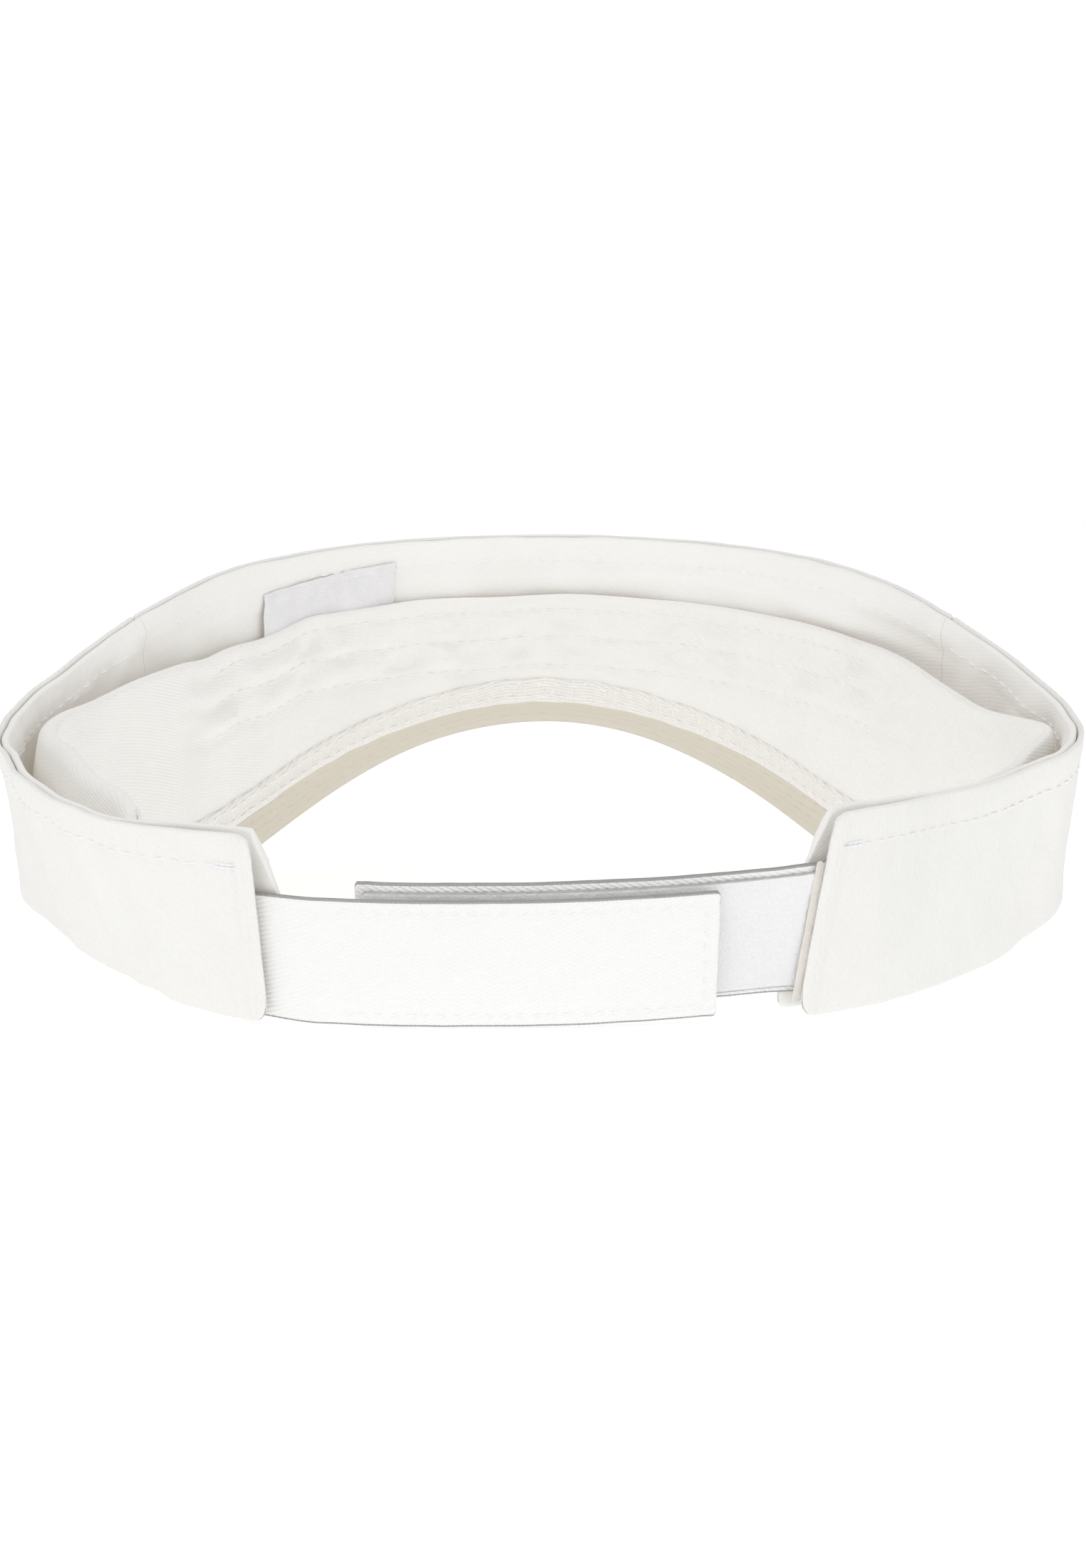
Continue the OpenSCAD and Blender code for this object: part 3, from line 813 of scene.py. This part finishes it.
def lining_inner(s, z):
    folds = 0
    for fold in LINING_CREASES:
        folds = folds + crease(s, z, *fold)
    return lining_outer(s, z) + LINING + lining_swell(s, z) + folds * ease(2, 7, top_z(s) - z)


LINING_END = MOUTH + 3.0


def lining_top(s):
    """Just under the rim, with a slanting corner where the lining shows past the shell."""
    edge = top_z(s) - 0.15 + 0.12 * ripples(s, 0 * s, 24, 14)
    return edge - 2.9 * np.clip(abs(s) - (LINING_END - 4.4), 0, 4.4)


def lining_foot(s):
    return side_foot(s) + 0.6 + rounded_off(s, LINING_END, 3.0)


front_lining = strip("front_lining_cloth", -SEAM, SEAM, panel_foot, lining_top,
                     lining_outer, lining_inner, LINING_TWILL, rows=40)
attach(front_lining, "root")
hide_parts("front_lining")

for side in (LEFT, RIGHT):
    name = WORD[side]
    ends = both_ways(side, SEAM + SEAM_GAP, LINING_END)
    piece = strip(name + "_lining_cloth", *ends, lining_foot, lining_top, lining_outer,
                  lining_inner, LINING_TWILL, rows=40, pitch=1.0,
                  rolls=rolled(side, 0, 1), corner=rolled(side, 0.6, 3.0))
    on_wing(piece, side)
    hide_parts(name + "_lining")

# ---- Sweatband ----

SWEAT_ROWS = (4.0, 11.0, 18.5)


def row_waver(s):
    return 0.45 * ripples(s, 0 * s, 35, 24)


def sharp_corner(s, z):
    """The folded sweatband turns its corners more sharply than the shell, most on the right."""
    far = abs(s)
    shift = 1.3 * bump(far, 133, 8) - 3.0 * bump(far, 151, 7) + 1.3 * bump(far, 169, 8)
    return shift * ease(0, 30, z) * np.where(s > 0, 0.3, 1)


def sweat_puff(s, z):
    """The quilted swelling of the sweatband's inner face between its stitch rows."""
    below = sweat_top(s) - z + row_waver(s)
    middle = 1 - ease(78, 108, abs(s))
    rows = 0
    for drop in SWEAT_ROWS:
        rows = rows - 0.7 * bump(below, drop, 1.6)
    pucker = 2.1 * ripples(s, z, 31, 15, 0.4) + 0.8 * ripples(s, z, 32, 8, 0.5)
    between = np.sin(np.clip((below - 4) / 7, 0, 2) * math.pi) ** 2
    soft = 0.45 * ripples(s, z, 33, 36) * (1 - 0.5 * middle)
    puff = middle * (rows + pucker * (0.2 + 0.8 * between)) + soft
    return puff * ease(4.5, 10, z - sweatband_foot(s))


def sweat_outer(s, z):
    return sweatband_face(s, z) + sharp_corner(s, z) + 0.25 * ripples(s, z, 33, 36)


def sweat_inner(s, z):
    """The face towards the head, with a thicker roll along the left side's free edge."""
    roll = 1.9 * ease(138, 156, s) * ease(9, 3, sweat_top(s) - z)
    thick = SWEATBAND_THICKNESS + roll
    return sweatband_face(s, z) + sharp_corner(s, z) + thick + sweat_puff(s, z)


def sweat_top(s):
    """The free edge rises at the front and along the left side, and dips at the left fold."""
    front = 1.6 * (1 - ease(52, 72, s)) * ease(-128, -96, s) - 0.7 * bump(s, 66, 9)
    front = front - 0.9 * bump(s, 88, 6)
    corners = 0.7 * ease(95, 120, s) + 1.0 * ease(155, 190, s) * (1 - ease(200, 214, s))
    waver = 0.35 * ripples(s, 0 * s, 34, 26)
    return sweatband_top(s) + front + corners + waver * (1 - ease(190, 210, abs(s)))


def sweatband_piece(name, near, far, rolls, edge=0.8):
    return strip(name, near, far, sweatband_foot, sweat_top, sweat_outer, sweat_inner,
                 BAND_TWILL, rows=38, arc_steps=7, pitch=1.25, rolls=rolls, roll=1.4,
                 corner=3.0, edge=edge)


def fold_edge(s):
    """How tall the rounding of the sweatband's fold is: more on the upright left part."""
    return 0.8 + 1.1 * ease(125, 150, s)


sweatband = sweatband_piece("front_sweatband_pad", -SEAM, SEAM, (0, 0))
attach(sweatband, "root")
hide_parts("front_sweatband", "front_sweatband_core")

for side in (LEFT, RIGHT):
    name = WORD[side]
    ends = both_ways(side, SEAM, SWEATBAND_END)
    piece = sweatband_piece(name + "_sweatband_pad", *ends, rolled(side, 0, 1),
                            edge=fold_edge)
    on_wing(piece, side)
    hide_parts(name + "_sweatband", name + "_sweatband_core")


def binding_foot(s):
    return sweatband_foot(s) - 0.8 + 0.12 * ripples(s, 0 * s, 41, 6)


def binding_top(s):
    return sweatband_foot(s) + 5.4 + 0.15 * ripples(s, 0 * s, 42, 7)


def binding_outer(s, z):
    return sweatband_face(s, z) + SWEATBAND_THICKNESS - 0.5


def binding_inner(s, z):
    up = z - sweatband_foot(s)
    ridges = 0.28 * bump(up, 0.6, 1.0) + 0.25 * bump(up, 4.4, 0.9)
    return sweatband_face(s, z) + SWEATBAND_THICKNESS + 0.5 + ridges + 0.1 * ripples(s, z, 43, 8)


def binding_piece(name, near, far, rolls):
    return strip(name, near, far, binding_foot, binding_top, binding_outer, binding_inner,
                 BINDING, rows=12, arc_steps=4, pitch=1.0, rolls=rolls, edge=0.4)


binding = binding_piece("front_binding_tape", -SEAM, SEAM, (0, 0))
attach(binding, "root")
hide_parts("front_binding")
for side in (LEFT, RIGHT):
    name = WORD[side]
    ends = both_ways(side, SEAM, SWEATBAND_END - 1)
    piece = binding_piece(name + "_binding_tape", *ends, rolled(side, 0, 1))
    on_wing(piece, side)
    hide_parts(name + "_binding")

# ---- Raw edge inside the right-hand opening ----


def fray_outer(s, z):
    return 1.2 + 0.06 * ripples(s, z, 91, 3) + 0.04 * ripples(s, z, 92, 1.2)


def fray_inner(s, z):
    return fray_outer(s, z) + 0.35


def fray_foot(s):
    return 3.0 + 0 * s


def fray_top(s):
    return 29.5 + 0.3 * ripples(s, 0 * s, 93, 2)


fray = strip("right_opening_fray", -MOUTH - 1.5, -MOUTH + 4, fray_foot, fray_top,
             fray_outer, fray_inner, FRAY, rows=60, arc_steps=3, pitch=0.35,
             rolls=(1, 1), roll=0.3, corner=0.4)
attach(fray, "right_wing")

# ---- Stitching on the band ----


def on_shell(drop):
    return lambda q, out: wall(q, shell_outer(q, top_z(q) - drop) - out, top_z(q) - drop)


def on_lining(drop):
    return lambda q, out: wall(q, lining_inner(q, top_z(q) - drop) + out, top_z(q) - drop)


def on_sweatband(drop):
    def spot(q, out):
        z = sweat_top(q) - drop + row_waver(q)
        return wall(q, sweat_inner(q, z) + out, z)
    return spot


def on_binding(up):
    def spot(q, out):
        z = sweatband_foot(q) + up
        return wall(q, binding_inner(q, z) + out, z)
    return spot


FRONT_ROW_END = 101
SWEAT_ROW_END = 84
BOUND_ROW_END = 102
BINDING_ROWS = (0.9, 4.0)
TACK_SHIFTS = (-0.45, 0.15)

top_lines = [(-FRONT_ROW_END, FRONT_ROW_END, on_shell(TOPSTITCH_DROP)),
             (-FRONT_ROW_END, FRONT_ROW_END, on_lining(LINING_STITCH_DROP))]
top_row = threads("front_topstitch_thread", top_lines, THREAD)
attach(top_row, "root")
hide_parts("front_topstitch")

sweat_lines = [(-SWEAT_ROW_END, SWEAT_ROW_END, on_sweatband(drop)) for drop in SWEAT_ROWS]
sweat_lines += [(-BOUND_ROW_END, BOUND_ROW_END, on_binding(up)) for up in BINDING_ROWS]
sweat_row = threads("front_sweatband_thread", sweat_lines, THREAD)
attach(sweat_row, "root")
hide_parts("front_sweatband_stitching")

for side in (LEFT, RIGHT):
    name = WORD[side]
    shell_ends = both_ways(side, SEAM + 2, MOUTH - 7)
    lining_ends = both_ways(side, SEAM + 2, MOUTH - 6)
    bound_ends = both_ways(side, SEAM + 1, SWEATBAND_END - 3)
    lines = [(*shell_ends, on_shell(TOPSTITCH_DROP)),
             (*lining_ends, on_lining(LINING_STITCH_DROP))]
    lines += [(*bound_ends, on_binding(up)) for up in BINDING_ROWS]
    piece = threads(name + "_topstitch_thread", lines, THREAD)
    on_wing(piece, side)
    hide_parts(name + "_topstitch")
    tack_ends = both_ways(side, MOUTH - 7.5, MOUTH - 3.5)
    tacks = [(*tack_ends, on_shell(TOPSTITCH_DROP + shift)) for shift in TACK_SHIFTS]
    piece = threads(name + "_bartack_thread", tacks, TACK, length=1.6, pitch=1.1, radius=0.26)
    on_wing(piece, side)
    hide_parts(name + "_bartacks")

# ---- Care label ----

LABEL_START = 33.5
LABEL_LENGTH = 34.5
LABEL_HEIGHT = 12
LABEL_SLOPE = 0.07


def label_outer(s, z):
    """The label hangs from its sewn top edge and curls a little at its outer end."""
    below = top_z(s) - TOPSTITCH_DROP - z
    loose = ease(0, 8, below)
    wave = 0.5 * np.sin(s * 0.33) + 1.0 * ease(58, 66, s)
    return lining_inner(s, z) + 0.25 + loose * (0.5 + 0.6 * wave)


def label_inner(s, z):
    return label_outer(s, z) + 0.4


def label_top(s):
    """The label's outer end is sewn a little lower than its inner end."""
    return top_z(s) - TOPSTITCH_DROP + 2.0 - LABEL_SLOPE * (s - LABEL_START)


def label_foot(s):
    return label_top(s) - LABEL_HEIGHT


label = strip("care_label_ribbon", LABEL_START, LABEL_START + LABEL_LENGTH, label_foot,
              label_top, label_outer, label_inner, SATIN,
              rows=20, arc_steps=2, pitch=0.8, rolls=(1, 1), roll=0.2, corner=0.2)
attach(label, "root")
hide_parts("care_label")

# ---- Brim ----

EDGE_ROW = 0.95
INNER_ROWS = 0.92
row_places = [row * INNER_ROWS / BRIM_ROWS for row in range(1, BRIM_ROWS)] + [EDGE_ROW]


def quilted(u, v):
    """The brim's cover dips along each stitch row and is a little uneven between."""
    dip = 0
    for v_row in row_places:
        dip = dip - 0.30 * bump(v, v_row, 0.012)
    return dip + 0.10 * ripples(u * 90, v * 70, 51, 18)


TIP = 0.995
EDGE_START = 0.975
EDGE_ROLL = 0.022
COVER_CLOTH = 0.8


def brim_cover(name, face, material):
    """One cover of the brim, top (1) or under (-1), turned round the brim's edge."""
    u = np.linspace(-TIP, TIP, 170)[:, None]
    flat = np.linspace(0, EDGE_START, 74)
    turns = np.linspace(0, math.pi / 2, 7)[1:]
    v_out = list(flat) + [EDGE_START + EDGE_ROLL * math.sin(a) for a in turns]
    fall = [1.0] * len(flat) + [max(0.02, math.cos(a)) for a in turns]
    v = np.array(v_out)[None]
    fall = np.array(fall)[None]
    narrow = 1 - 0.9 * ease(0.93, 1.0, abs(u)) ** 3
    outer = (BRIM_FACE + quilted(u, v)) * fall * narrow * face
    inner = (BRIM_FACE - COVER_CLOTH) * fall * narrow * face
    inner = np.where(fall < 0.5, outer * 0.4, inner)
    shell = brim_point(u, v, outer)
    hollow = brim_point(u, v, inner)[:, ::-1]
    points = np.concatenate([shell, hollow], 1)
    run = np.concatenate([np.broadcast_to(u * 120, shell.shape[:2])] * 2, 1)
    across = np.broadcast_to(v * 75, shell.shape[:2])
    cloth = np.stack([run, np.concatenate([across, across[:, ::-1]], 1)], -1)
    return tube(name, points, cloth, material)


brim_top = brim_cover("brim_top_cloth", 1, BRIM_TOP)
# The under cover's twill is painted with the shade under the brim.
brim_under = brim_cover("brim_under_cloth", -1, BRIM_UNDER_SHADED)
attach(brim_top, "root")
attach(brim_under, "root")
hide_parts("brim_top_cover", "brim_board")
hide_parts("brim_under_cover")

BRIM_REACH = 0.93


def brim_lines(face):
    """The stitch rows of one face of the brim: 1 for the top, -1 for the underside."""
    lines = []
    for v_row in row_places:
        length = BRIM_REACH * mix(BRIM_END, BRIM_HALF * 0.72, v_row)

        def on_brim(q, out, v_row=v_row, length=length):
            u = q / length * BRIM_REACH
            return brim_point(u, v_row + 0 * u, face * (BRIM_FACE + quilted(u, v_row) + out))

        lines.append((-length, length, on_brim))
    return lines


brim_thread = threads("brim_top_thread", brim_lines(1), THREAD, length=2.6, pitch=3.5)
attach(brim_thread, "root")
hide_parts("brim_stitching")
# The underside's stitches carry the same painted shade.
under_thread = threads("brim_under_shaded_thread", brim_lines(-1), UNDER_SHADED_THREAD, length=2.6, pitch=3.5,
                       radius=0.15)
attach(under_thread, "root")

# ---- Straps ----

HEM = 2.3
END_HEM = 2.4
FLEX_REACH = 3.0


def strap_path(side, free, inset, foot):
    """Gives the points along a strap from its free end to its sewn end, as a function of the
    distance, the share of its width and the depth; and the length of its free stretch."""
    turn = side * TAB_START
    straight = abs(turn - free)

    def spot(q, h, deep):
        q, h, deep = np.broadcast_arrays(q, h, deep)
        on_arc = strap_point(free + side * np.minimum(q, straight), h, inset + deep, foot)
        t = np.clip((q - straight) / TAB_RUN, 0, 1)
        on_tab = tab_point(side, t, h, inset + deep, foot)
        return np.where((q > straight)[..., None], on_tab, on_arc)

    return spot, straight


def strap_sheet(name, spot, near, far, low, high, thick, material, swell=None, corner=1.6,
                pitch=1.0, rows=24, rolls=(1, 1)):
    """A strap layer from one distance to another, low to high across its width."""
    q, full = stations(near, far, pitch, rolls, 0.6)
    q, full = q[:, None], full[:, None]
    section = ring(rows, 4)
    share, side, lift = section[:, 0][None], section[:, 1][None], section[:, 2][None]
    r = thick / 2 / STRAP_WIDTH
    h = mix(low + r, high - r, share) + lift * r
    middle = (low + high) / 2
    h = middle + (h - middle) * (1 - (1 - full) * corner / (STRAP_WIDTH / 2))
    deep = thick / 2 + (side - 0.5) * thick * full
    if swell is not None:
        deep = deep - swell(q, h * STRAP_WIDTH)
    points = spot(q, h, deep)
    cloth = np.stack(np.broadcast_arrays(q, h * STRAP_WIDTH + 60 * side, side), -1)
    return tube(name, points, cloth, material)


def strap_swell(seed):
    """A strap's soft unevenness and its hem grooves, as a function of its surface."""
    def swell(q, w):
        edge = np.minimum(w, STRAP_WIDTH - w)
        hem = -0.16 * bump(edge, HEM, 0.5) - 0.16 * bump(q, END_HEM, 0.5)
        wavy = 0.12 * ripples(q, w, seed, 17) + 0.06 * ripples(q, w, seed + 1, 6)
        return hem + wavy
    return swell


outer_spot, outer_straight = strap_path(LEFT, -OUTER_END, 0, OUTER_FOOT)
outer_swell = strap_swell(61)
outer = strap_sheet("outer_strap_cloth", outer_spot, 0, outer_straight + TAB_RUN,
                    0, 1, STRAP_CLOTH, STRAP_TWILL, outer_swell)


def hinge_points(side, inset, foot):
    """Where a strap's bend starts and ends, on both sides of its hinge."""
    near = place(strap_point(np.array(side * (STRAP_HINGE + FLEX_REACH)), 0.5, inset, foot))
    far = place(strap_point(np.array(side * (STRAP_HINGE - FLEX_REACH)), 0.5, inset, foot))
    return Vector(near), Vector(far)


start, end = hinge_points(LEFT, 0.5, OUTER_FOOT)
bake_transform(outer)
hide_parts("outer_strap_tab", "outer_strap")

hook_spot, _ = strap_path(LEFT, -OUTER_END, STRAP_CLOTH + 0.02, OUTER_FOOT)
hook = strap_sheet("hook_tape_pile", hook_spot, 3, 60, 0.1, 0.9, TAPE, HOOK_PILE, None, 1.0)
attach(hook, "outer_flap")
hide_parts("hook_tape")

inner_spot, inner_straight = strap_path(RIGHT, STRAP_END, INNER_INSET, INNER_FOOT)
inner = strap_sheet("inner_strap_cloth", inner_spot, 0, inner_straight + TAB_RUN,
                    0, 1, STRAP_CLOTH, STRAP_TWILL, strap_swell(71))
start, end = hinge_points(RIGHT, INNER_INSET + 0.5, INNER_FOOT)
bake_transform(inner)
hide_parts("inner_strap_tab", "inner_strap")


def pile_swell(q, w):
    """The fine unevenness of the looped pile."""
    fine = ripples(q, w, 81, 1.6) * 0.06 + ripples(q, w, 82, 0.9) * 0.05
    return fine + 0.08 * ripples(q, w, 83, 12)


loop_spot, _ = strap_path(RIGHT, STRAP_END, LOOP_INSET, INNER_FOOT)
loop = strap_sheet("loop_tape_pile", loop_spot, 1.5, inner_straight + 12,
                   0.05, 0.94, TAPE, LOOP_PILE, pile_swell, 1.0, pitch=0.6, rows=42)
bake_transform(loop)
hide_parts("loop_tape")


def strap_lines(spot, straight, swell, outward, deep):
    """Two hem rows along a strap and one across its free end."""
    lines = []
    for w in (HEM, STRAP_WIDTH - HEM):
        def hem(q, out, w=w):
            return spot(q, w / STRAP_WIDTH, deep - swell(q, w) - outward * out)
        lines.append((3, straight - 4, hem))

    def across(q, out):
        end = END_HEM + 0 * q
        return spot(end, q / STRAP_WIDTH, deep - swell(end, q) - outward * out)
    lines.append((3, STRAP_WIDTH - 3, across))
    return lines


outer_thread = threads("outer_strap_thread",
                       strap_lines(outer_spot, outer_straight, outer_swell, 1, 0.0), THREAD,
                       length=2.1, pitch=2.8, radius=0.2)
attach(outer_thread, "outer_flap")
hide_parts("outer_strap_stitching")
inner_thread = threads("inner_strap_thread",
                       strap_lines(inner_spot, inner_straight, strap_swell(71),
                                   -1, STRAP_CLOTH), THREAD, length=2.1, pitch=2.8, radius=0.2)
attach(inner_thread, "inner_flap")
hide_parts("inner_strap_stitching")

# ---- Camera, in millimetres, but its clipping in metres ----

LENS = 78.65
SENSOR = 36
CAMERA_TARGET = np.array([0, 10.5, 23.1])
CAMERA_DISTANCE = 682.5
CAMERA_ELEVATION = math.radians(18)

camera_data = bpy.data.cameras.new("camera")
camera_data.lens = LENS
camera_data.sensor_width = SENSOR
camera_data.sensor_fit = "AUTO"
camera_data.clip_start = 0.05
camera_data.clip_end = 20
camera = bpy.data.objects.new("camera", camera_data)
back = np.array([0, math.cos(CAMERA_ELEVATION), math.sin(CAMERA_ELEVATION)])
eye = Vector(place(CAMERA_TARGET + CAMERA_DISTANCE * back))
aim = Vector(place(CAMERA_TARGET))
camera.location = eye
camera.rotation_mode = "QUATERNION"
camera.rotation_quaternion = (aim - eye).to_track_quat("-Z", "Y")
bpy.context.scene.collection.objects.link(camera)
bpy.context.scene.camera = camera

# ---- Lights and floor, in metres ----


def area_light(name, location, target, size, power, colour=(1, 1, 1)):
    data = bpy.data.lights.new(name, "AREA")
    data.shape = "SQUARE"
    data.size = size
    data.energy = power
    data.color = colour
    light = bpy.data.objects.new(name, data)
    light.location = location
    light.rotation_mode = "QUATERNION"
    light.rotation_quaternion = (Vector(target) - Vector(location)).to_track_quat("-Z", "Y")
    bpy.context.scene.collection.objects.link(light)


VISOR_CENTRE = (0, 0.02, 0.03)
KEY_POWER = 3.5
FILL_POWER = 1.9
RIM_POWER = 1.6
area_light("key", (0.55, 0.8, 0.9), VISOR_CENTRE, 0.6, KEY_POWER, (1.0, 0.995, 0.985))
area_light("fill", (-0.9, 0.6, 0.5), VISOR_CENTRE, 0.9, FILL_POWER)
area_light("rim", (0.0, -0.8, 1.0), (0, 0.0, 0.03), 1.0, RIM_POWER)

bpy.context.scene.view_settings.view_transform = "Standard"
SKY_LIGHT = 0.60
SKY_SEEN = 1.05
world = bpy.data.worlds.new("studio")
world.use_nodes = True
sky = world.node_tree.nodes["Background"]
sky.inputs["Color"].default_value = (1, 1, 1, 1)
path = world.node_tree.nodes.new("ShaderNodeLightPath")
level = world.node_tree.nodes.new("ShaderNodeMapRange")
level.inputs["To Min"].default_value = SKY_LIGHT
level.inputs["To Max"].default_value = SKY_SEEN
world.node_tree.links.new(path.outputs["Is Camera Ray"], level.inputs["Value"])
world.node_tree.links.new(level.outputs["Result"], sky.inputs["Strength"])
bpy.context.scene.world = world

FLOOR_HALF = 3.0
FLOOR_TONE = 0.52
FLOOR_GLOW = 0.68
turns = ((-1, -1), (1, -1), (1, 1), (-1, 1))
corners = [(FLOOR_HALF * x, FLOOR_HALF * y, 0) for x, y in turns]
floor_mesh = bpy.data.meshes.new("floor")
floor_mesh.from_pydata(corners, [], [(0, 1, 2, 3)])
floor = bpy.data.objects.new("floor", floor_mesh)
floor_material = bpy.data.materials.new("floor_paper")
floor_material.use_nodes = True
floor_surface = floor_material.node_tree.nodes["Principled BSDF"]
floor_surface.inputs["Base Color"].default_value = (FLOOR_TONE, FLOOR_TONE, FLOOR_TONE, 1)
floor_surface.inputs["Roughness"].default_value = 0.9
floor_surface.inputs["Emission Color"].default_value = (1, 1, 1, 1)
floor_surface.inputs["Emission Strength"].default_value = FLOOR_GLOW
floor_mesh.materials.append(floor_material)
bpy.context.scene.collection.objects.link(floor)
